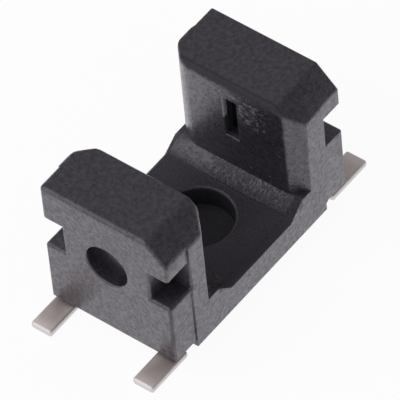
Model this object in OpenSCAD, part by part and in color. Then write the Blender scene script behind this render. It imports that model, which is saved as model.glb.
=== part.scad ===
// Slotted optical switch for surface mounting, in millimetres.
// A moulded housing holds a light emitter and a light detector face to face across a slot.
// X runs along the length, from the detector tower (-X) to the emitter tower (+X).
// Z = 0 is the board that the leads are soldered to.

/* [Slot] */
// Clear distance between the two towers
slot_gap = 3.0; // [2.6:0.1:5]
// Height of the slot floor above the board
slot_floor_h = 1.0; // [0.8:0.05:1.1]
// Length of the shallow ramp from the floor to each tower
ramp_run = 0.42; // [0.2:0.02:0.5]
// Height that the ramp climbs
ramp_rise = 0.2; // [0.1:0.02:0.34]
// Slant along the front edge of the slot floor
floor_slant = 0.18; // [0.05:0.01:0.25]

/* [Housing] */
// Width of the housing, front to back
body_w = 3.48; // [3.2:0.04:4.4]
// Height of the tower tops above the board
tower_top = 3.94; // [3.85:0.05:4.4]
// Thickness of each slot wall
slot_wall_t = 0.86; // [0.8:0.02:0.95]
// Thickness of the block outside each slot wall
end_block_t = 0.74; // [0.66:0.02:0.8]
// Gap between the board and the middle of the housing
middle_lift = 0.08; // [0.04:0.01:0.12]
// Gap between the board and the end blocks
end_block_lift = 0.28; // [0.24:0.02:0.4]
// Set-back of the end blocks from the sides of the middle
end_block_inset = 0.03; // [0.02:0.01:0.08]

/* [Tower details] */
// Chamfer on the upright edges at the slot
corner_chamfer = 0.36; // [0.28:0.02:0.4]
// Slant on the front edge of both tower tops
front_slant = 0.55; // [0.3:0.05:0.6]
// Bottom of the side notches above the board
notch_low = 2.04; // [1.8:0.04:2.2]
// Top of the side notches above the board
notch_high = 2.90; // [2.6:0.05:3.05]
// Depth of the side notches
notch_depth = 0.56; // [0.2:0.02:0.6]
// Solid web left beside the emitter's slot wall, which shortens the notches there
emitter_web_t = 0.18; // [0.06:0.02:0.3]

/* [Openings] */
// Width of the light slit in each slot wall
slit_w = 0.36; // [0.2:0.02:0.5]
// Distance of the light slit from the middle, towards the back
slit_y = 0.08; // [0:0.02:0.14]
// Height of the light slit
slit_h = 1.22; // [0.9:0.02:1.3]
// Wall left between the top of the light slit and the tower top
slit_roof = 0.58; // [0.44:0.02:0.7]
// Diameter of the round opening in each outer end
end_hole_d = 1.1; // [0.8:0.05:1.2]
// Height of that opening's centre above the board
end_hole_h = 2.36; // [2.1:0.04:2.6]
// Diameter of the round recess in the slot floor
floor_recess_d = 1.66; // [1:0.02:1.7]
// Depth of that recess
floor_recess_depth = 0.55; // [0.2:0.05:0.6]

/* [Pockets] */
// Wall left between the slot and a pocket
pocket_slot_wall = 0.3; // [0.26:0.02:0.34]
// Wall left between a pocket and the outer end
pocket_end_wall = 0.3; // [0.26:0.02:0.34]
// Width of a pocket
pocket_w = 1.7; // [1.66:0.02:1.8]
// Roof left above a pocket
pocket_roof = 0.34; // [0.25:0.01:0.36]

/* [Packages] */
// Thickness of a cast package, without its lens
package_t = 0.74; // [0.7:0.02:0.76]
// Clear room on each side of a package in its pocket
package_side_gap = 0.02; // [0.01:0.01:0.04]
// Underside of a package above the board
package_bottom_h = 0.95; // [0.8:0.05:1.2]
// Height of the lens that stands out of a package
lens_rise = 0.16; // [0.08:0.02:0.16]
// Diameter of the lens where it leaves the package
lens_d = 1.0; // [0.7:0.05:1.1]

/* [Leads] */
// Thickness of the lead strip
lead_t = 0.18; // [0.12:0.02:0.2]
// Width of a lead's foot
lead_w = 0.56; // [0.4:0.02:0.56]
// Length of a foot beyond the end block
lead_reach = 0.82; // [0.4:0.05:1.2]
// Distance between the centres of the two feet at one end
lead_pitch = 2.8; // [2.5:0.05:2.84]
// Inside radius of the bend above the foot
bend_r = 0.08; // [0.04:0.02:0.1]
// Width of the arm that joins a foot to its shank
arm_w = 0.26; // [0.2:0.02:0.4]
// Width of a lead's upright shank
shank_w = 0.34; // [0.26:0.02:0.34]
// Distance between the centres of the two shanks
shank_pitch = 0.98; // [0.96:0.01:1.04]
// Epoxy behind the lead strip in a package
strip_cover = 0.24; // [0.2:0.01:0.26]

/* [Dies and wires] */
// Width and height of the emitter die
emitter_die_w = 0.28; // [0.2:0.02:0.32]
// Width and height of the detector die
detector_die_w = 0.34; // [0.24:0.02:0.36]
// Thickness of a die
die_t = 0.12; // [0.08:0.01:0.12]
// Thickness of the adhesive under a die
attach_t = 0.02; // [0.01:0.01:0.03]
// Edge of adhesive that shows around a die
attach_rim = 0.02; // [0.01:0.01:0.03]
// Thickness of a bond wire
wire_d = 0.04; // [0.03:0.01:0.04]
// Bend radius of a bond wire
wire_bend_r = 0.04; // [0.03:0.01:0.04]
// Straight start of a bond wire above its die
wire_rise = 0.02; // [0.01:0.01:0.02]
// Height of the carrier pad that holds a die
pad_h = 0.8; // [0.6:0.05:0.9]
// Gap between the carrier pad and the other lead
pad_gap = 0.12; // [0.08:0.01:0.14]

/* [Hidden] */
$fn = 48;
// Overshoot of the cutting shapes, so that no thin skin is left
over = 0.5;
// Positions along X on the emitter side
slot_x = slot_gap / 2;
wall_x = slot_x + slot_wall_t;
end_x = wall_x + end_block_t;
tip_x = end_x + lead_reach;
pocket_in_x = slot_x + pocket_slot_wall;
pocket_out_x = end_x - pocket_end_wall;
package_in_x = pocket_out_x - package_t;
strip_out_x = pocket_out_x - strip_cover;
strip_in_x = strip_out_x - lead_t;
bend_x = strip_out_x + bend_r;
die_seat_x = strip_in_x - attach_t;
die_face_x = die_seat_x - die_t;
// Positions along Y
half_w = body_w / 2;
block_half_w = half_w - end_block_inset;
neck_half_w = half_w - notch_depth;
package_w = pocket_w - 2 * package_side_gap;
shank_in_y = (shank_pitch - shank_w) / 2;
shank_out_y = (shank_pitch + shank_w) / 2;
foot_out_y = (lead_pitch + lead_w) / 2;
wire_die_y = wire_d;
wire_post_y = shank_pitch / 2;
// Heights
ramp_top = slot_floor_h + ramp_rise;
pocket_top = tower_top - pocket_roof;
slit_high = tower_top - slit_roof;
slit_low = slit_high - slit_h;
light_h = (slit_low + slit_high) / 2;
// Radius of the sphere that the lens is a cap of
lens_r = (pow(lens_d / 2, 2) + pow(lens_rise, 2)) / (2 * lens_rise);

// Shapes for one side are drawn at the emitter, and this turns them over for the detector.
module at_detector() {
  mirror([1, 0, 0]) children();
}

module both_ends() {
  children();
  at_detector() children();
}

// A solid with its outline in X and Z, reaching from one Y to another.
module along_y(from_y, to_y) {
  translate([0, to_y, 0]) rotate([90, 0, 0]) linear_extrude(to_y - from_y) children();
}

// A solid with its outline in Y and Z, reaching from one X to another.
module along_x(from_x, to_x) {
  translate([from_x, 0, 0]) rotate([90, 0, 90]) linear_extrude(to_x - from_x) children();
}

// A block given by its lowest and highest corner.
module block(low, high) {
  translate(low) cube(high - low);
}

// Outline of the base and both slot walls, seen from the front.
module middle_outline() {
  polygon([
    [-wall_x, middle_lift], [wall_x, middle_lift], [wall_x, tower_top], [slot_x, tower_top],
    [slot_x, ramp_top], [slot_x - ramp_run, slot_floor_h],
    [ramp_run - slot_x, slot_floor_h], [-slot_x, ramp_top],
    [-slot_x, tower_top], [-wall_x, tower_top]
  ]);
}

// Outline of an end block, seen from the end: a T-shaped head above a wider foot.
module end_block_outline() {
  polygon([
    [-block_half_w, end_block_lift], [block_half_w, end_block_lift],
    [block_half_w, notch_low], [neck_half_w, notch_low],
    [neck_half_w, notch_high], [block_half_w, notch_high],
    [block_half_w, tower_top], [front_slant - block_half_w, tower_top],
    [-block_half_w, tower_top - front_slant], [-block_half_w, notch_high],
    [-neck_half_w, notch_high], [-neck_half_w, notch_low], [-block_half_w, notch_low]
  ]);
}

// Outline of the web beside the emitter's slot wall: the end block without its notches.
module web_outline() {
  polygon([
    [-block_half_w, end_block_lift], [block_half_w, end_block_lift],
    [block_half_w, tower_top], [front_slant - block_half_w, tower_top],
    [-block_half_w, tower_top - front_slant]
  ]);
}

// What the slant takes off the front edge of both slot walls.
module wall_slant_cut() {
  along_x(slot_x - over, wall_x)
    polygon([
      [-half_w - over, tower_top - front_slant - over],
      [front_slant - half_w + over, tower_top + over],
      [-half_w - over, tower_top + over]
    ]);
}

// What the chamfer takes off an upright edge at the slot, on the side given by dir.
module corner_cut(dir) {
  translate([0, 0, ramp_top])
    linear_extrude(tower_top)
      polygon([
        [slot_x - over, dir * (half_w - corner_chamfer - over)],
        [slot_x - over, dir * (half_w + over)],
        [slot_x + corner_chamfer + over, dir * (half_w + over)]
      ]);
}

// What the slant takes off the front edge of the slot floor and its ramps.
// The slot's outline is swept forwards and down at 45 degrees.
module floor_slant_cut() {
  side_x = slot_x + corner_chamfer - floor_slant;
  reach = 2 * floor_slant + over;
  flat = sqrt(0.5);
  intersection() {
    translate([0, floor_slant - half_w, 0])
      rotate([135, 0, 0])
        linear_extrude(reach * 2, center = true)
          polygon([
            [-side_x, (ramp_top + over) * flat], [-side_x, ramp_top * flat], [-slot_x, ramp_top * flat],
            [ramp_run - slot_x, slot_floor_h * flat], [slot_x - ramp_run, slot_floor_h * flat],
            [slot_x, ramp_top * flat], [side_x, ramp_top * flat], [side_x, (ramp_top + over) * flat]
          ]);
    block([-side_x, -half_w - over, 0], [side_x, floor_slant - half_w, tower_top]);
  }
}

// Room for a package and its leads, open at the bottom.
module pocket_cut() {
  block([pocket_in_x, -pocket_w / 2, -over], [pocket_out_x, pocket_w / 2, pocket_top]);
}

module slit_cut() {
  block([slot_x - over, slit_y - slit_w / 2, slit_low],
        [pocket_in_x + pocket_slot_wall, slit_y + slit_w / 2, slit_high]);
}

module end_hole_cut() {
  translate([pocket_out_x - pocket_end_wall, 0, end_hole_h])
    rotate([0, 90, 0])
      cylinder(d = end_hole_d, h = 2 * pocket_end_wall + over);
}

module floor_recess_cut() {
  translate([0, 0, slot_floor_h - floor_recess_depth])
    cylinder(d = floor_recess_d, h = floor_recess_depth + over);
}

// The foot and bend of a lead, from its tip to the start of the upright shank.
module lead_foot() {
  block([bend_x, foot_out_y - lead_w, 0], [tip_x, foot_out_y, lead_t]);
  block([bend_x, shank_in_y, 0], [bend_x + arm_w, foot_out_y, lead_t]);
  translate([bend_x, shank_out_y, lead_t + bend_r])
    rotate([90, 0, 0])
      linear_extrude(shank_w)
        intersection() {
          difference() {
            circle(r = lead_t + bend_r);
            circle(r = bend_r);
          }
          translate([-lead_t - bend_r, -lead_t - bend_r]) square(lead_t + bend_r);
        }
}

// The lead that stands at +Y and ends in a plain post for the wire.
module post_lead() {
  lead_foot();
  block([strip_in_x, shank_in_y, lead_t + bend_r], [strip_out_x, shank_out_y, light_h + pad_h / 2]);
}

// The lead that stands at -Y and widens into the pad that holds the die.
module carrier_lead() {
  mirror([0, 1, 0]) lead_foot();
  block([strip_in_x, -shank_out_y, lead_t + bend_r], [strip_out_x, -shank_in_y, light_h + pad_h / 2]);
  block([strip_in_x, -shank_out_y, light_h - pad_h / 2],
        [strip_out_x, shank_in_y - pad_gap, light_h + pad_h / 2]);
}

module die_adhesive(die_w) {
  half = die_w / 2 + attach_rim;
  block([die_seat_x, -half, light_h - half], [strip_in_x, half, light_h + half]);
}

module die(die_w) {
  half = die_w / 2;
  block([die_face_x, -half, light_h - half], [die_seat_x, half, light_h + half]);
}

// Eight-sided section of a bond wire.
module wire_section() {
  rotate(22.5) circle(d = wire_d, $fn = 8);
}

// A straight piece of wire that runs towards the lead strip.
module wire_leg(from_x, to_x, y) {
  translate([from_x, y, light_h]) rotate([0, 90, 0]) linear_extrude(to_x - from_x) wire_section();
}

// A quarter bend of the wire about the Z axis, from -Y round to -X.
module wire_bend() {
  rotate([0, 0, 180])
    rotate_extrude(angle = 90)
      translate([wire_bend_r, 0]) wire_section();
}

// The wire from the die's face over to the post.
module bond_wire() {
  turn_x = die_face_x - wire_rise;
  first_y = wire_die_y + wire_bend_r;
  last_y = wire_post_y - wire_bend_r;
  wire_leg(turn_x, die_face_x, wire_die_y);
  translate([turn_x, first_y, light_h]) wire_bend();
  translate([turn_x - wire_bend_r, first_y, light_h])
    rotate([-90, 0, 0]) linear_extrude(last_y - first_y) wire_section();
  translate([turn_x, last_y, light_h]) mirror([0, 1, 0]) wire_bend();
  wire_leg(turn_x, strip_in_x, wire_post_y);
}

// A block as wide and as high as a package, from one X to another.
module package_section(from_x, to_x) {
  block([from_x, -package_w / 2, package_bottom_h], [to_x, package_w / 2, pocket_top]);
}

// The cast block with its lens, before its contents are taken out of it.
// The lens is a cap of a sphere and stays within the sides of the block.
module package_block() {
  package_section(package_in_x, pocket_out_x);
  intersection() {
    translate([package_in_x - lens_rise + lens_r, 0, light_h]) sphere(r = lens_r);
    package_section(package_in_x - 2 * lens_rise, package_in_x + lens_rise);
  }
}

module cast_package(die_w) {
  difference() {
    package_block();
    post_lead();
    carrier_lead();
    die_adhesive(die_w);
    die(die_w);
    bond_wire();
  }
}

module housing() {
  color([0.13, 0.13, 0.14])
    difference() {
      union() {
        along_y(-half_w, half_w) middle_outline();
        both_ends() along_x(wall_x, end_x) end_block_outline();
        along_x(wall_x, wall_x + emitter_web_t) web_outline();
      }
      both_ends() {
        wall_slant_cut();
        corner_cut(1);
        corner_cut(-1);
        pocket_cut();
        slit_cut();
        end_hole_cut();
      }
      floor_slant_cut();
      floor_recess_cut();
    }
}

module detector_package() {
  color([0.06, 0.05, 0.07]) at_detector() cast_package(detector_die_w);
}

module detector_die() {
  color([0.20, 0.22, 0.28]) at_detector() die(detector_die_w);
}

module detector_die_adhesive() {
  color([0.72, 0.72, 0.70]) at_detector() die_adhesive(detector_die_w);
}

module detector_bond_wire() {
  color([0.86, 0.68, 0.28]) at_detector() bond_wire();
}

module detector_collector_lead() {
  color([0.70, 0.67, 0.64]) at_detector() carrier_lead();
}

module detector_emitter_lead() {
  color([0.70, 0.67, 0.64]) at_detector() post_lead();
}

module emitter_package() {
  color([0.22, 0.22, 0.26]) cast_package(emitter_die_w);
}

module emitter_die() {
  color([0.30, 0.30, 0.34]) die(emitter_die_w);
}

module emitter_die_adhesive() {
  color([0.72, 0.72, 0.70]) die_adhesive(emitter_die_w);
}

module emitter_bond_wire() {
  color([0.86, 0.68, 0.28]) bond_wire();
}

module emitter_cathode_lead() {
  color([0.70, 0.67, 0.64]) carrier_lead();
}

module emitter_anode_lead() {
  color([0.70, 0.67, 0.64]) post_lead();
}

housing();
detector_package();
detector_die();
detector_die_adhesive();
detector_bond_wire();
detector_collector_lead();
detector_emitter_lead();
emitter_package();
emitter_die();
emitter_die_adhesive();
emitter_bond_wire();
emitter_cathode_lead();
emitter_anode_lead();
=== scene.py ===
import math
import bpy
from mathutils import Matrix, Vector


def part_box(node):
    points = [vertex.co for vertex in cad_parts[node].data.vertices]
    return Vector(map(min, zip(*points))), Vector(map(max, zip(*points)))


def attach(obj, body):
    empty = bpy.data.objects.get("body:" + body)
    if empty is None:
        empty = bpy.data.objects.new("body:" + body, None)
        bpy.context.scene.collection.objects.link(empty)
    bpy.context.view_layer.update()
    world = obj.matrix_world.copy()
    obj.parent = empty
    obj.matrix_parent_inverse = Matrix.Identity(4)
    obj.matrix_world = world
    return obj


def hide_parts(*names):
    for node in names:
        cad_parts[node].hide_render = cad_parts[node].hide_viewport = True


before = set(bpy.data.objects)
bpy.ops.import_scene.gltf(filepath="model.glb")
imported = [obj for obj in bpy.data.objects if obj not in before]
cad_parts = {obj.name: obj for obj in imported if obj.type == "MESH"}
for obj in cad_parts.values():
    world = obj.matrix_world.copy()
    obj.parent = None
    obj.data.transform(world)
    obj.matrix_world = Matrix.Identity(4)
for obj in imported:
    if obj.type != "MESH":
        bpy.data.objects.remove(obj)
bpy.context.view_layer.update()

# Sizes and places on the part, in metres
MM = 0.001
housing_low, housing_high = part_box("housing")
SIDE_Y = housing_high.y
TOWER_TOP = housing_high.z
END_X = housing_high.x
SLOT_X = 1.50 * MM
WALL_X = 2.36 * MM
FLOOR_H = 1.00 * MM
RAMP_TOP = 1.20 * MM
RAMP_FOOT_X = SLOT_X - 0.42 * MM
FLOOR_SLANT = 0.18 * MM
BACK_SLANT = 0.10 * MM
SIDE_STEP = 0.03 * MM
STEP_RUN = 0.12 * MM
SEAM_HALF_W = 0.014 * MM
SEAM_DEPTH = 0.018 * MM
SIDE_BAND = 0.22 * MM
CORNER_CHAMFER = 0.36 * MM
FRONT_SLANT = 0.55 * MM
SLANT_TOP_Y = FRONT_SLANT - SIDE_Y
END_LIFT = 0.28 * MM
NOTCH_LOW = 2.04 * MM
NOTCH_TOP = 2.90 * MM
LEAD_TIP_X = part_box("emitter_anode_lead")[1].x
SLIT_Y = 0.08 * MM
SLIT_HALF_W = 0.18 * MM
SLIT_LOW = 2.14 * MM
SLIT_HIGH = 3.36 * MM
RECESS_R = 0.83 * MM
RECESS_FLOOR_H = 0.45 * MM
POCKET_HALF_W = 0.85 * MM
POCKET_IN_X = 1.80 * MM
POCKET_OUT_X = END_X - 0.30 * MM
POCKET_TOP = 3.60 * MM

# Rounding of the edges, in metres
HOUSING_ROUND = 0.075 * MM
LEAD_ROUND = 0.06 * MM
PACKAGE_ROUND = 0.03 * MM
ROUND_SEGMENTS = 3
# Bends under which an edge is dissolved, is left unrounded, and is shaded smooth
FLAT_ANGLE = math.radians(0.5)
SHARP_ANGLE = math.radians(20)
SMOOTH_ANGLE = math.radians(40)
# Two places this near to each other count as one
NEAR = 0.004 * MM

# Rounding of the housing's edges, as shares of the full rounding
SLIT_SHARE = 0.35
END_HOLE_SHARE = 0.6
RECESS_SHARE = 1.0
BOTTOM_SHARE = 0.4
BACK_CORNER_SHARE = 2.6
EMITTER_SHARE = 0.65
EMITTER_SLOT_TOP_SHARE = 1.0
DETECTOR_SHARE = 1.0
DETECTOR_TOP_SHARE = 1.4
DETECTOR_SLOT_SHARE = 0.8
DETECTOR_BACK_SHARE = 1.6
# And of a lead's inside edges
LEAD_INSIDE_SHARE = 0.4

# The photograph's camera
PICTURE_PX = 400
FOCAL_PX = 6941
PX_PER_MM = 45.90
CAMERA_AZIMUTH = math.radians(-48.21)
CAMERA_ELEVATION = math.radians(49.55)
CAMERA_ROLL = math.radians(6.01)
TARGET = Vector((0, -0.04 * MM, 1.779 * MM))
TARGET_PX = (196.5, 194.3)
SENSOR_MM = 36
CLIP_NEAR = 0.01
CLIP_FAR = 2.0


# Working on one mesh at a time

def pick(piece):
    """Makes one object the only selected and active one."""
    if bpy.context.mode != "OBJECT":
        bpy.ops.object.mode_set(mode="OBJECT")
    bpy.ops.object.select_all(action="DESELECT")
    piece.select_set(True)
    bpy.context.view_layer.objects.active = piece


def node_copy(node, name):
    """A copy of a CAD node's mesh, with its loose triangles welded into whole flat faces."""
    piece = bpy.data.objects.new(name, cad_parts[node].data.copy())
    piece.data.name = name
    bpy.context.scene.collection.objects.link(piece)
    pick(piece)
    bpy.ops.mesh.customdata_custom_splitnormals_clear()
    weld(piece)
    return piece


def weld(piece):
    """Merges doubled points and dissolves the edges inside flat faces."""
    pick(piece)
    bpy.ops.object.mode_set(mode="EDIT")
    bpy.ops.mesh.select_all(action="SELECT")
    bpy.ops.mesh.remove_doubles(threshold=NEAR / 10)
    bpy.ops.mesh.dissolve_limited(angle_limit=FLAT_ANGLE)
    bpy.ops.object.mode_set(mode="OBJECT")


def select_points(piece, test):
    """Enters edit mode with the points selected whose place passes the test."""
    pick(piece)
    bpy.ops.object.mode_set(mode="EDIT")
    bpy.ops.mesh.select_mode(type="VERT")
    bpy.ops.mesh.select_all(action="DESELECT")
    bpy.ops.object.mode_set(mode="OBJECT")
    for point in piece.data.vertices:
        point.select = test(point.co)
    bpy.ops.object.mode_set(mode="EDIT")


def shift_points(piece, test, offset):
    """Moves the points whose place passes the test."""
    select_points(piece, test)
    bpy.ops.transform.translate(value=offset)
    bpy.ops.object.mode_set(mode="OBJECT")


def cut(piece, place, normal):
    """Cuts a loop of edges round the piece where a plane crosses it."""
    pick(piece)
    bpy.ops.object.mode_set(mode="EDIT")
    bpy.ops.mesh.select_all(action="SELECT")
    bpy.ops.mesh.bisect(plane_co=place, plane_no=normal, threshold=NEAR / 10)
    bpy.ops.object.mode_set(mode="OBJECT")


def edge_table(piece):
    """For each edge between two faces: its index, middle, whether it is an outside edge, and its angle."""
    mesh = piece.data
    faces_of = {}
    for face in mesh.polygons:
        for key in face.edge_keys:
            faces_of.setdefault(key, []).append(face)
    rows = []
    for edge in mesh.edges:
        faces = faces_of.get(edge.key, [])
        if len(faces) != 2:
            continue
        start, end = (mesh.vertices[i].co for i in edge.vertices)
        first, second = faces
        # The first face runs along the edge one way round, which tells its inner side
        ring = list(first.vertices)
        at = ring.index(edge.vertices[0])
        along = end - start
        if ring[(at + 1) % len(ring)] != edge.vertices[1]:
            along = -along
        inward = first.normal.cross(along)
        outside = second.normal.dot(inward) < 0
        rows.append((edge.index, (start + end) / 2, outside, first.normal.angle(second.normal)))
    return rows


def round_edges(piece, width, share_at):
    """Rounds the sharp edges of a piece. share_at gives the share of the width for one edge."""
    shares = [0.0] * len(piece.data.edges)
    for index, middle, outside, angle in edge_table(piece):
        if angle > SHARP_ANGLE:
            shares[index] = share_at(middle, outside)
    weights = piece.data.attributes.new("bevel_weight_edge", "FLOAT", "EDGE")
    weights.data.foreach_set("value", shares)
    pick(piece)
    rounding = piece.modifiers.new("rounding", "BEVEL")
    rounding.limit_method = "WEIGHT"
    rounding.width = width
    rounding.segments = ROUND_SEGMENTS
    rounding.use_clamp_overlap = False
    bpy.ops.object.modifier_apply(modifier=rounding.name)


def smooth_finish(piece):
    """Shades the rounded edges smooth and keeps the large faces flat."""
    pick(piece)
    bpy.ops.object.shade_smooth_by_angle(angle=SMOOTH_ANGLE)
    flats = piece.modifiers.new("flat faces", "WEIGHTED_NORMAL")
    flats.keep_sharp = True
    bpy.ops.object.modifier_apply(modifier=flats.name)


def place(piece, node, slot, material):
    """Lets a piece stand for a CAD node, with its own material."""
    piece.data.materials.clear()
    piece.data.materials.append(material)
    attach(piece, "root")
    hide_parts(node)


# Shader maths

class Value:
    """A socket in a material. Arithmetic on it adds Math nodes."""

    def __init__(self, graph, socket):
        self.graph = graph
        self.socket = socket

    def math(self, operation, first, second):
        return self.graph.add("ShaderNodeMath", {"operation": operation}, {0: first, 1: second})

    def __add__(self, other):
        return self.math("ADD", self, other)

    def __radd__(self, other):
        return self.math("ADD", other, self)

    def __sub__(self, other):
        return self.math("SUBTRACT", self, other)

    def __rsub__(self, other):
        return self.math("SUBTRACT", other, self)

    def __mul__(self, other):
        return self.math("MULTIPLY", self, other)

    def __rmul__(self, other):
        return self.math("MULTIPLY", other, self)

    def most(self, other):
        """The larger of the two."""
        return self.math("MAXIMUM", self, other)

    def size(self):
        """The number without its sign."""
        return self.math("ABSOLUTE", self, 0.0)


class Graph:
    """A node tree under construction."""

    def __init__(self, tree):
        self.tree = tree

    def add(self, kind, settings=None, sockets=None, out=0):
        """Adds a node: its settings first, then the values or links of its sockets."""
        node = self.tree.nodes.new(kind)
        for label, setting in (settings or {}).items():
            setattr(node, label, setting)
        for label, given in (sockets or {}).items():
            if isinstance(given, Value):
                self.tree.links.new(given.socket, node.inputs[label])
            else:
                node.inputs[label].default_value = given
        return None if out is None else Value(self, node.outputs[out])

    def step(self, value, low, high, start=0.0, end=1.0):
        """Goes smoothly from one number to another while the value goes from low to high."""
        return self.add("ShaderNodeMapRange", {"interpolation_type": "SMOOTHSTEP"},
                        {"Value": value, "From Min": low, "From Max": high, "To Min": start, "To Max": end})

    def ray(self, kind):
        """1 for one kind of ray and 0 for the others."""
        return self.add("ShaderNodeLightPath", out=kind)


class Finish(Graph):
    """A material under construction, with its shader and the piece's own coordinates."""

    def __init__(self, name, **constants):
        self.material = bpy.data.materials.new(name)
        self.material.use_nodes = True
        super().__init__(self.material.node_tree)
        self.shader = self.tree.nodes["Principled BSDF"]
        for label, number in constants.items():
            self.shader.inputs[label.replace("_", " ").title().replace("Ior", "IOR")].default_value = number
        self.place = self.add("ShaderNodeTexCoord", out="Object")

    def feed(self, label, value):
        """Links a value to one of the shader's sockets."""
        self.tree.links.new(value.socket, self.shader.inputs[label])

    def grain(self, size, detail=3.0, stretch=(1, 1, 1), rough=0.55):
        """Noise whose features are about one size, given in metres, stretched along an axis if asked."""
        spot = self.add("ShaderNodeVectorMath", {"operation": "MULTIPLY"},
                        {0: self.place, 1: [1 / s for s in stretch]})
        return self.add("ShaderNodeTexNoise", None,
                        {"Vector": spot, "Scale": 1 / size, "Detail": detail, "Roughness": rough})

    def blend(self, share, first, second):
        """Mixes two colours."""
        return self.add("ShaderNodeMix", {"data_type": "RGBA"},
                        {"Factor": share, "A": first, "B": second}, out="Result")

    def axis(self, label):
        """One coordinate of the piece's own place, in metres."""
        return self.add("ShaderNodeSeparateXYZ", None, {0: self.place}, out=label)

    def between(self, value, low, high, soft):
        """1 from one number to another and 0 outside, with soft ends."""
        return self.step(value, low - soft, low) * self.step(value, high, high + soft, 1.0, 0.0)

    def relief(self, height, depth, strength=1.0):
        """Bump from a height of 0 to 1, with its depth in metres."""
        bump = self.add("ShaderNodeBump", None, {"Strength": strength, "Distance": depth, "Height": height})
        self.feed("Normal", bump)


def rgb(red, green, blue):
    """An opaque colour."""
    return (red, green, blue, 1.0)


# Finishes

def black_moulding():
    """Matte black filled plastic: mottled, pitted, streaked on the ramps and scuffed at the emitter, with
    painted shade on the slot floor and in the round recess and a painted highlight beside the emitter's
    slit.
    """
    finish = Finish("black_moulding", specular_ior_level=0.58, specular_tint=rgb(0.95, 0.90, 1.0),
                    coat_roughness=0.30)
    x, y, z = (finish.axis(label) for label in "XYZ")
    off_middle = x.size()
    soft = 0.02 * MM
    soft_up = 0.03 * MM
    cloud = finish.grain(0.45 * MM, 2.0)
    mottle = finish.grain(0.11 * MM, 4.0)
    grit = finish.grain(0.035 * MM, 2.0)
    pits = finish.step(finish.grain(0.075 * MM, 1.0), 0.66, 0.74)
    # The slot floor and the slant in front of it are duller than the rest, and their colour is darkened as
    # painted shade
    front_y = 0.03 * MM - SIDE_Y
    slant_y = FLOOR_SLANT - SIDE_Y
    back_y = SIDE_Y - 0.05 * MM
    on_floor = (finish.between(off_middle, 0.0, RAMP_FOOT_X, soft)
                * finish.between(y, slant_y, back_y, soft)
                * finish.between(z, RECESS_FLOOR_H, FLOOR_H + soft, soft_up))
    on_slant = (finish.between(off_middle, 0.0, SLOT_X + FLOOR_SLANT, soft)
                * finish.between(y, front_y, slant_y, soft)
                * finish.between(z, FLOOR_H - FLOOR_SLANT, RAMP_TOP + soft, soft_up))
    dull_and_shaded = on_floor.most(on_slant)
    # The floor of the round recess is painted near black as painted shade
    in_recess = (finish.between(off_middle, 0.0, RECESS_R, soft)
                 * finish.between(y.size(), 0.0, RECESS_R, soft)
                 * finish.between(z, RECESS_FLOOR_H, RECESS_FLOOR_H + 0.01 * MM, soft_up))
    # Streaks run down the ramps, most of them in front of the slit
    streaks_back_y = 0.2 * MM
    streaks_fade = 0.8 * MM
    on_ramp = (finish.between(off_middle, RAMP_FOOT_X, SLOT_X + soft, soft)
               * finish.between(z, FLOOR_H, RAMP_TOP, soft_up)
               * finish.between(y, slant_y, streaks_back_y, streaks_fade))
    streaks = finish.step(finish.grain(0.05 * MM, 3.0, stretch=(2, 1, 2)), 0.42, 0.60) * on_ramp
    # Scuffs lie on the emitter tower's slot face, most of them beside the upper part of the slit
    slit_side_y = SLIT_Y + SLIT_HALF_W
    on_face = finish.between(x, SLOT_X - 0.03 * MM, SLOT_X + 0.10 * MM, soft)
    near_slit = (finish.between(z, SLIT_LOW + 0.8 * MM, SLIT_HIGH + 0.15 * MM, 0.3 * MM)
                 * finish.between(y, -0.6 * MM, slit_side_y, 0.4 * MM))
    scratches = finish.grain(0.10 * MM, 5.0, stretch=(1, 1.6, 1), rough=0.65)
    scuffs = finish.step(scratches + 0.13 * near_slit, 0.60, 0.74) * on_face
    # A painted highlight runs down the back side of that slit as a light line
    slit_edge_highlight = (finish.between(y, slit_side_y - 0.01 * MM, slit_side_y + 0.03 * MM, 0.01 * MM)
            * finish.between(z, SLIT_HIGH - 0.6 * MM, SLIT_HIGH, 0.08 * MM) * on_face)
    # The top of that face is rubbed dull
    rubbed = finish.step(z + 0.35 * MM * mottle, TOWER_TOP - 0.12 * MM, TOWER_TOP + 0.08 * MM) * on_face
    # The scuffs are real wear; the line beside the slit is a painted highlight
    scuffs_and_highlight = (0.55 * scuffs * (1.0 - rubbed)).most(slit_edge_highlight)
    plain = finish.blend(finish.step(mottle, 0.3, 0.7),
                         rgb(0.0135, 0.0122, 0.0148), rgb(0.021, 0.0195, 0.0232))
    # Pits darken the colour, and painted shade darkens the slot floor and its slant
    dark = finish.blend(pits.most(0.6 * dull_and_shaded), plain, rgb(0.008, 0.007, 0.0085))
    # Painted shade: the recess floor is painted near black
    with_recess_shade = finish.blend(in_recess, dark, rgb(0.002, 0.002, 0.002))
    finish.feed("Base Color", finish.blend(scuffs_and_highlight, with_recess_shade, rgb(0.20, 0.19, 0.21)))
    sheen = finish.step(0.7 * mottle + 0.3 * grit, 0.32, 0.68, 0.05, 0.75)
    coat = sheen * (1.0 - pits) * (1.0 - dull_and_shaded) * (1.0 - 0.8 * streaks)
    finish.feed("Coat Weight", coat * (1.0 - rubbed))
    roughness = 0.25 + 0.12 * cloud + 0.10 * mottle + 0.12 * dull_and_shaded + 0.20 * streaks
    finish.feed("Roughness", roughness + 0.26 * in_recess + 0.45 * rubbed)
    finish.relief(0.5 * mottle + 0.3 * grit - 0.5 * pits - 0.5 * streaks, 0.025 * MM, 0.8)
    return finish.material


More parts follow.
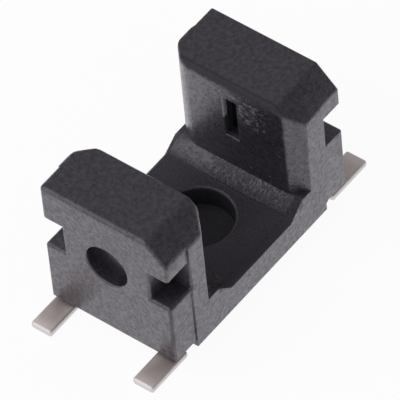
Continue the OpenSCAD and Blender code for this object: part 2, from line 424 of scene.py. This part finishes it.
def tinned_strip():
    """Matte tin over copper strip, with painted shade that makes its upward faces darker and browner than
    its sides, and a painted highlight towards the tips.
    """
    finish = Finish("tinned_strip", metallic=1.0)
    # Which way a face looks picks its colour: upward faces get painted shade, darker and browner than the
    # sides
    facing = finish.add("ShaderNodeTexCoord", out="Normal")
    upward = finish.step(finish.add("ShaderNodeSeparateXYZ", None, {0: facing}, out="Z"), 0.3, 0.9)
    lines = finish.grain(0.03 * MM, 3.0, stretch=(12, 1, 1))
    cloud = finish.grain(0.25 * MM, 3.0)
    flat = finish.blend(cloud, rgb(0.50, 0.44, 0.42), rgb(0.60, 0.535, 0.51))
    off_middle = finish.axis("X").size()
    # Painted highlight: the upward faces are painted lighter towards the tips
    tip_highlight = finish.step(off_middle + 0.12 * MM * cloud, LEAD_TIP_X - 0.30 * MM, LEAD_TIP_X - 0.02 * MM)
    bright = finish.blend(0.35 * tip_highlight, flat, rgb(0.86, 0.83, 0.80))
    finish.feed("Base Color", finish.blend(upward, rgb(0.58, 0.57, 0.56), bright))
    finish.feed("Roughness", 0.50 + 0.10 * lines + 0.08 * cloud)
    finish.relief(lines, 0.004 * MM, 0.5)
    return finish.material


def dark_epoxy():
    """Near-black cast epoxy with a smooth skin."""
    finish = Finish("dark_epoxy", specular_ior_level=0.3)
    cloud = finish.grain(0.3 * MM, 2.0)
    finish.feed("Base Color", finish.blend(cloud, rgb(0.010, 0.008, 0.012), rgb(0.020, 0.016, 0.022)))
    finish.feed("Roughness", 0.16 + 0.14 * cloud)
    return finish.material


def tinted_epoxy():
    """Smoke-tinted cast epoxy with a dull skin."""
    finish = Finish("tinted_epoxy", transmission_weight=0.15, ior=1.52)
    cloud = finish.grain(0.3 * MM, 2.0)
    finish.feed("Base Color", finish.blend(cloud, rgb(0.035, 0.034, 0.042), rgb(0.06, 0.058, 0.07)))
    finish.feed("Roughness", 0.42 + 0.16 * cloud)
    return finish.material


def silicon():
    """Polished silicon, slate blue."""
    finish = Finish("silicon", metallic=0.4)
    cloud = finish.grain(0.08 * MM, 2.0)
    finish.feed("Base Color", finish.blend(cloud, rgb(0.05, 0.06, 0.09), rgb(0.09, 0.10, 0.14)))
    finish.feed("Roughness", 0.18 + 0.12 * cloud)
    return finish.material


def emitter_crystal():
    """Sawn dark crystal with a grainy face."""
    finish = Finish("emitter_crystal")
    cloud = finish.grain(0.04 * MM, 3.0)
    finish.feed("Base Color", finish.blend(cloud, rgb(0.07, 0.07, 0.09), rgb(0.14, 0.13, 0.15)))
    finish.feed("Roughness", 0.30 + 0.20 * cloud)
    return finish.material


def silver_adhesive():
    """Silver-filled adhesive with visible flakes."""
    finish = Finish("silver_adhesive", metallic=0.6)
    flakes = finish.grain(0.02 * MM, 2.0)
    finish.feed("Base Color", finish.blend(flakes, rgb(0.42, 0.42, 0.40), rgb(0.66, 0.66, 0.64)))
    finish.feed("Roughness", 0.40 + 0.25 * flakes)
    finish.relief(flakes, 0.003 * MM)
    return finish.material


def gold():
    """Drawn gold wire."""
    finish = Finish("gold", metallic=1.0)
    cloud = finish.grain(0.03 * MM, 2.0)
    finish.feed("Base Color", finish.blend(cloud, rgb(0.78, 0.52, 0.16), rgb(0.90, 0.66, 0.26)))
    finish.feed("Roughness", 0.20 + 0.12 * cloud)
    return finish.material


# The housing

def housing_share(middle, outside):
    """How much of the full rounding an edge of the housing gets."""
    x, y, z = abs(middle.x), abs(middle.y), middle.z
    in_pocket = POCKET_IN_X - NEAR < x < POCKET_OUT_X + NEAR and y < POCKET_HALF_W + NEAR
    if in_pocket and z < POCKET_TOP + NEAR:
        return 0.0
    at_slit = abs(middle.y - SLIT_Y) < SLIT_HALF_W + NEAR and SLIT_LOW - NEAR < z < SLIT_HIGH + NEAR
    if at_slit and x < POCKET_IN_X + NEAR:
        return SLIT_SHARE if abs(x - SLOT_X) < NEAR else 0.0
    if abs(x - END_X) < NEAR and y < POCKET_HALF_W and housing_low.z + NEAR < z < TOWER_TOP - NEAR:
        return END_HOLE_SHARE
    if outside and Vector((x, y)).length < RECESS_R + NEAR and z > FLOOR_H - NEAR:
        return RECESS_SHARE
    if x < WALL_X - NEAR and y > SIDE_Y - FLOOR_SLANT - NEAR and FLOOR_H / 2 < z < RAMP_TOP + 2 * NEAR:
        return 0.0
    if not outside:
        return 0.0
    if z < END_LIFT + NEAR:
        return BOTTOM_SHARE
    at_back = middle.y > SIDE_Y - CORNER_CHAMFER - NEAR
    if at_back and SLOT_X - NEAR < x < SLOT_X + CORNER_CHAMFER + NEAR and z < TOWER_TOP - NEAR:
        return BACK_CORNER_SHARE
    at_top = z > TOWER_TOP - NEAR
    if middle.x > 0:
        return EMITTER_SLOT_TOP_SHARE if at_top and x < SLOT_X + NEAR else EMITTER_SHARE
    if at_back and z > NOTCH_TOP:
        return DETECTOR_BACK_SHARE
    if abs(x - SLOT_X) < NEAR:
        return DETECTOR_SLOT_SHARE
    return DETECTOR_TOP_SHARE if at_top else DETECTOR_SHARE


def moulded_housing():
    """The housing with its edges rounded as they leave the mould."""
    piece = node_copy("housing", "moulded_housing")
    # The ends are brought level with the middle, so that one rounded edge runs along both. The cuts
    # give the middle's corners the same points as the ends', so that the two join up.
    for z in (END_LIFT, NOTCH_LOW, NOTCH_TOP, TOWER_TOP - FRONT_SLANT):
        cut(piece, (0, 0, z), (0, 0, 1))
    ends = WALL_X - NEAR
    inset_y = SIDE_Y - SIDE_STEP
    shift_points(piece, lambda p: abs(p.x) > ends and abs(p.y - inset_y) < NEAR, (0, SIDE_STEP, 0))
    shift_points(piece, lambda p: abs(p.x) > ends and abs(p.y + inset_y) < NEAR, (0, -SIDE_STEP, 0))
    shift_points(piece,
                 lambda p: abs(p.x) > ends and p.z > TOWER_TOP - NEAR
                 and abs(p.y - SLANT_TOP_Y - SIDE_STEP) < NEAR,
                 (0, -SIDE_STEP, 0))
    # The slant at the front of the slot floor runs out over the ramps, before it meets the towers
    shift_points(piece,
                 lambda p: SLOT_X - NEAR < abs(p.x) < WALL_X - NEAR and abs(p.y + SIDE_Y) < NEAR
                 and abs(p.z - RAMP_TOP + FLOOR_SLANT) < NEAR,
                 (0, 0, FLOOR_SLANT))
    # The back edge of the slot floor is broken by a narrow slant that runs out up the ramps
    cut(piece, (0, SIDE_Y - BACK_SLANT, 0), (0, 1, 0))
    shift_points(piece,
                 lambda p: abs(p.x) < RAMP_FOOT_X + NEAR and abs(p.y - SIDE_Y) < NEAR
                 and abs(p.z - FLOOR_H) < NEAR,
                 (0, 0, -BACK_SLANT))
    weld(piece)
    round_edges(piece, HOUSING_ROUND, housing_share)
    # The sides of the ends are set back again: by a soft step at the emitter, and at the detector
    # by a fine seam beside the slot wall that ends at the front slant
    for x in (WALL_X, WALL_X + STEP_RUN, SEAM_HALF_W - WALL_X, -WALL_X, -WALL_X - SEAM_HALF_W):
        cut(piece, (x, 0, 0), (1, 0, 0))

    def at_end(p):
        return p.x > WALL_X + STEP_RUN / 2 or p.x < -WALL_X - SEAM_HALF_W / 2

    def back_side(p):
        return at_end(p) and p.y > SIDE_Y - SIDE_BAND

    def front_side(p):
        on_emitter_slant = p.x > 0 and p.z > NOTCH_TOP and p.y < SLANT_TOP_Y + 2 * HOUSING_ROUND
        return at_end(p) and (on_emitter_slant or p.y < SIDE_BAND - SIDE_Y)

    def back_seam(p):
        return abs(p.x + WALL_X) < NEAR and p.y > SIDE_Y - NEAR

    def front_seam(p):
        return abs(p.x + WALL_X) < NEAR and p.y < NEAR - SIDE_Y

    def slant_foot(p):
        over_front = p.z > TOWER_TOP - FRONT_SLANT - 2 * HOUSING_ROUND and p.y < SIDE_BAND - SIDE_Y
        return p.x < -WALL_X - SEAM_HALF_W / 2 and over_front

    def slant_seam(p):
        over_front = p.z > TOWER_TOP - FRONT_SLANT - HOUSING_ROUND and p.y > NEAR - SIDE_Y
        return abs(p.x + WALL_X) < NEAR and over_front and p.y < SIDE_BAND - SIDE_Y

    shift_points(piece, back_side, (0, -SIDE_STEP, 0))
    shift_points(piece, front_side, (0, SIDE_STEP, 0))
    shift_points(piece, back_seam, (0, -SIDE_STEP - SEAM_DEPTH, 0))
    shift_points(piece, slant_foot, (0, 0, SIDE_STEP))
    shift_points(piece, slant_seam, (0, SIDE_STEP, SIDE_STEP))
    shift_points(piece, front_seam, (0, SIDE_STEP + SEAM_DEPTH, 0))
    smooth_finish(piece)
    return piece


# The leads

def lead(node):
    """One lead with the soft edges of stamped and tinned strip."""
    piece = node_copy(node, "tinned_" + node)
    round_edges(piece, LEAD_ROUND, lambda middle, outside: 1.0 if outside else LEAD_INSIDE_SHARE)
    smooth_finish(piece)
    return piece


# The cast packages

def package(node):
    """One cast package with rounded outer edges and a smooth lens."""
    low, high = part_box(node)
    piece = node_copy(node, "cast_" + node)

    def share(middle, outside):
        at_side = abs(middle.y) > high.y - NEAR
        at_end = middle.z > high.z - NEAR or middle.z < low.z + NEAR
        return 1.0 if at_side or at_end else 0.0

    round_edges(piece, PACKAGE_ROUND, share)
    smooth_finish(piece)
    return piece


# Putting the parts in place

plastic = black_moulding()
tin = tinned_strip()
place(moulded_housing(), "housing", "black_moulding", plastic)
for lead_node in ("detector_collector_lead", "detector_emitter_lead",
                  "emitter_cathode_lead", "emitter_anode_lead"):
    place(lead(lead_node), lead_node, "tinned_strip", tin)
place(package("detector_package"), "detector_package", "dark_epoxy", dark_epoxy())
place(package("emitter_package"), "emitter_package", "tinted_epoxy", tinted_epoxy())

adhesive = silver_adhesive()
wire = gold()
for node, material in (("detector_die", silicon()), ("emitter_die", emitter_crystal()),
                       ("detector_die_adhesive", adhesive), ("emitter_die_adhesive", adhesive),
                       ("detector_bond_wire", wire), ("emitter_bond_wire", wire)):
    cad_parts[node].material_slots[0].material = material


# The studio

ROOM_TINT = rgb(0.985, 0.955, 1.0)
FLOOR_HALF = 0.6
FLOOR_GLOW = 0.93
FLOOR_GLARE = 1.32
SKY_FRONT = 0.29
SKY_BACK = 0.48
SKY_FRONT_TO_BACK = (-0.9, 0.5)
SKY_LEFT = 0.85
SKY_LEFT_TO_RIGHT = (-1.0, 0.3)
SOFTBOX_SIDE = (-0.45, 0.45, 0.78)
SOFTBOX_DISTANCE = 0.20
SOFTBOX_SIZE = 0.20
SOFTBOX_POWER = 0.12


def floor_material():
    """A white sweep, overexposed in reflections, that keeps a faint shadow."""
    material = bpy.data.materials.new("white_sweep")
    material.use_nodes = True
    material.node_tree.nodes.clear()
    graph = Graph(material.node_tree)
    mirrored = graph.ray("Is Glossy Ray").most(graph.ray("Is Transmission Ray"))
    paper = graph.add("ShaderNodeBsdfDiffuse", None, {"Color": rgb(0.92, 0.92, 0.92)})
    tone = graph.add("ShaderNodeMix", {"data_type": "RGBA"},
                     {"Factor": mirrored, "A": rgb(1, 1, 1), "B": ROOM_TINT}, out="Result")
    glow = graph.add("ShaderNodeEmission", None,
                     {"Color": tone, "Strength": 1.0 + (FLOOR_GLARE - 1.0) * mirrored})
    share = FLOOR_GLOW * graph.ray("Is Camera Ray").most(mirrored)
    mix = graph.add("ShaderNodeMixShader", None, {"Fac": share, 1: paper, 2: glow})
    graph.add("ShaderNodeOutputMaterial", None, {"Surface": mix}, out=None)
    return material


def studio_floor():
    """A plain white floor under the part."""
    bpy.ops.object.select_all(action="DESELECT")
    bpy.ops.mesh.primitive_plane_add(size=2 * FLOOR_HALF)
    floor = bpy.context.active_object
    floor.name = "studio_floor"
    floor.data.materials.append(floor_material())


def softbox(name, direction, distance, size, power):
    """A square lamp that looks at the part from one direction."""
    lamp = bpy.data.lights.new(name, "AREA")
    lamp.size = size
    lamp.energy = power
    holder = bpy.data.objects.new(name, lamp)
    bpy.context.scene.collection.objects.link(holder)
    away = Vector(direction).normalized()
    holder.location = TARGET + away * distance
    holder.rotation_euler = away.to_track_quat("Z", "Y").to_euler()


def studio_world():
    """A soft room, darkest in front and brightest at the left, that looks white to the camera."""
    world = bpy.data.worlds.new("studio")
    bpy.context.scene.world = world
    world.use_nodes = True
    world.node_tree.nodes.clear()
    graph = Graph(world.node_tree)
    direction = graph.add("ShaderNodeTexCoord", out="Generated")
    across = graph.add("ShaderNodeSeparateXYZ", None, {0: direction}, out="X")
    depth = graph.add("ShaderNodeSeparateXYZ", None, {0: direction}, out="Y")
    level = (graph.step(depth, *SKY_FRONT_TO_BACK, SKY_FRONT, SKY_BACK)
             + graph.step(across, *SKY_LEFT_TO_RIGHT, SKY_LEFT, 0.0))
    sky = graph.add("ShaderNodeBackground", None,
                    {"Color": ROOM_TINT, "Strength": level.most(graph.ray("Is Camera Ray"))})
    graph.add("ShaderNodeOutputWorld", None, {"Surface": sky}, out=None)


def studio_camera():
    """The photograph's view, turned a little about its own axis as the photograph is."""
    cos_el = math.cos(CAMERA_ELEVATION)
    back = Vector((math.sin(CAMERA_AZIMUTH) * cos_el, -math.cos(CAMERA_AZIMUTH) * cos_el,
                   math.sin(CAMERA_ELEVATION)))
    level_right = Vector((math.cos(CAMERA_AZIMUTH), math.sin(CAMERA_AZIMUTH), 0))
    level_up = back.cross(level_right)
    right = level_right * math.cos(CAMERA_ROLL) - level_up * math.sin(CAMERA_ROLL)
    up = level_right * math.sin(CAMERA_ROLL) + level_up * math.cos(CAMERA_ROLL)
    middle_px = PICTURE_PX / 2
    aim = (TARGET + right * (middle_px - TARGET_PX[0]) / PX_PER_MM * MM
           - up * (middle_px - TARGET_PX[1]) / PX_PER_MM * MM)
    lens = bpy.data.cameras.new("camera")
    lens.sensor_width = SENSOR_MM
    lens.lens = SENSOR_MM * FOCAL_PX / PICTURE_PX
    lens.clip_start = CLIP_NEAR
    lens.clip_end = CLIP_FAR
    camera = bpy.data.objects.new("camera", lens)
    bpy.context.scene.collection.objects.link(camera)
    turn = Matrix((right, up, back)).transposed().to_4x4()
    camera.matrix_world = Matrix.Translation(aim + back * FOCAL_PX / PX_PER_MM * MM) @ turn
    bpy.context.scene.camera = camera


studio_floor()
studio_world()
softbox("left_back_softbox", SOFTBOX_SIDE, SOFTBOX_DISTANCE, SOFTBOX_SIZE, SOFTBOX_POWER)
studio_camera()
bpy.context.scene.view_settings.view_transform = "Standard"
